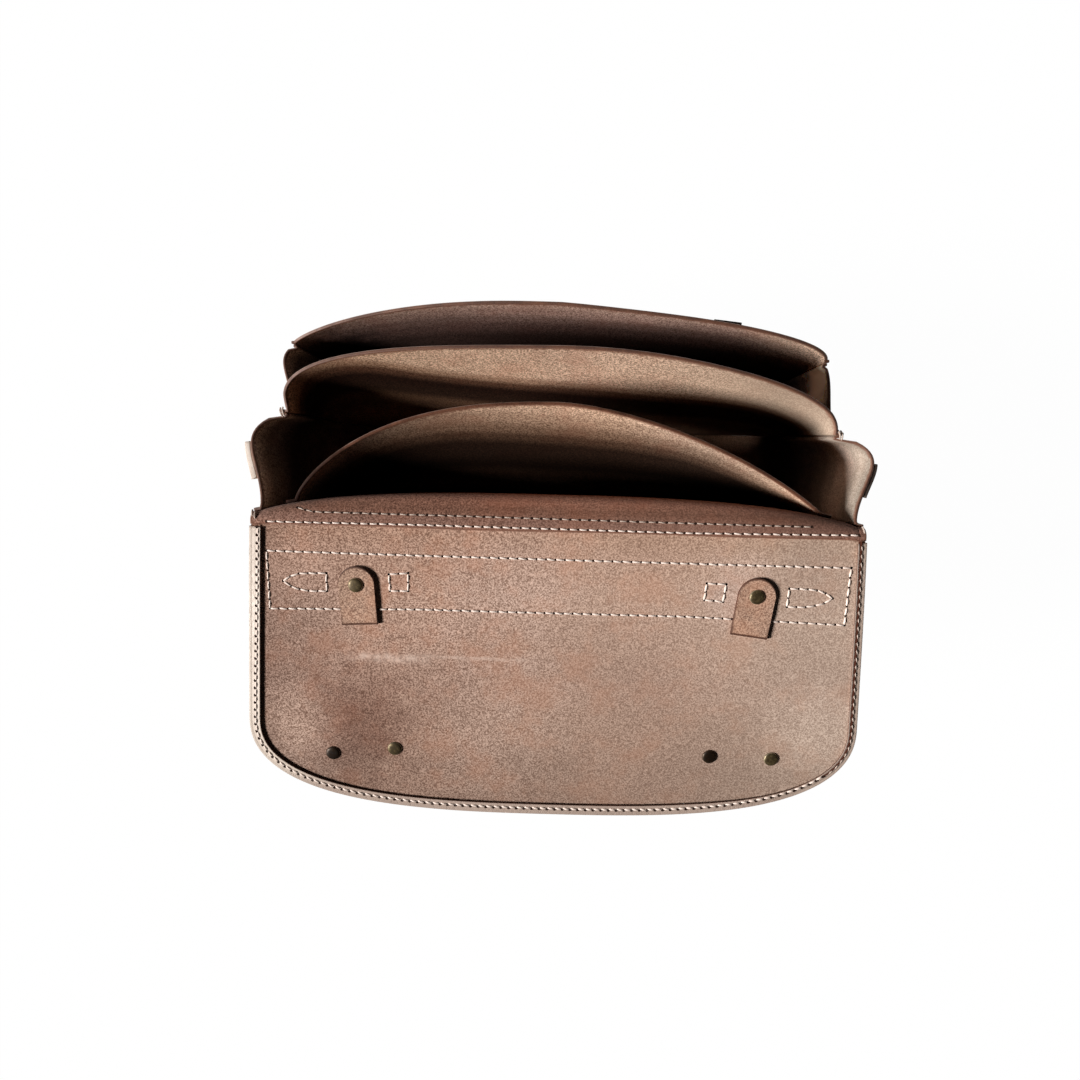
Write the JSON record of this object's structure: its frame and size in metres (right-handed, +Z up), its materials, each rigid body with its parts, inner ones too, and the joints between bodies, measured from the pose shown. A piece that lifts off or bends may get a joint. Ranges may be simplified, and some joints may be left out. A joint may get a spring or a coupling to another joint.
{
  "type": "attache case",
  "caption": "Upright leather attache case shown open: arched flap thrown back, two bellows compartments, a divider and a gaping pocket on the back wall.",
  "frame": {"origin": "on the flat underside of the rear bellows, in the middle of its width", "axes": "+X along the width, to the right of someone looking at the back; +Y from the back panel to the front panel; +Z up"},
  "size_m": [0.4344, 0.361, 0.2906],
  "materials": {
    "flap_suede": "suede, matt",
    "inner_leather": "suede, matt",
    "trim_leather": "smooth, matt",
    "strap_leather": "smooth, satin",
    "rivet_brass": "antique, satin"
  },
  "bodies": {
    "root": {"back_panel": "inner_leather", "divider": "inner_leather", "front_panel": "inner_leather", "pocket_panel": "inner_leather", "gusset_rear": "inner_leather", "gusset_front": "inner_leather", "flap": "flap_suede", "flap_binding": "trim_leather", "flap_band": "strap_leather", "tab_left": "trim_leather", "tab_right": "trim_leather", "strip_left": "strap_leather", "strip_right": "strap_leather", "keeper_left": "strap_leather", "keeper_right": "strap_leather", "tab_rivet_left": "rivet_brass", "tab_rivet_right": "rivet_brass", "rivet_left_outer": "rivet_brass", "rivet_left_inner": "rivet_brass", "rivet_right_inner": "rivet_brass", "rivet_right_outer": "rivet_brass", "side_strap_left": "strap_leather", "side_strap_right": "strap_leather", "front_strap_left": "strap_leather", "front_strap_right": "strap_leather"}
  },
  "joints": []
}
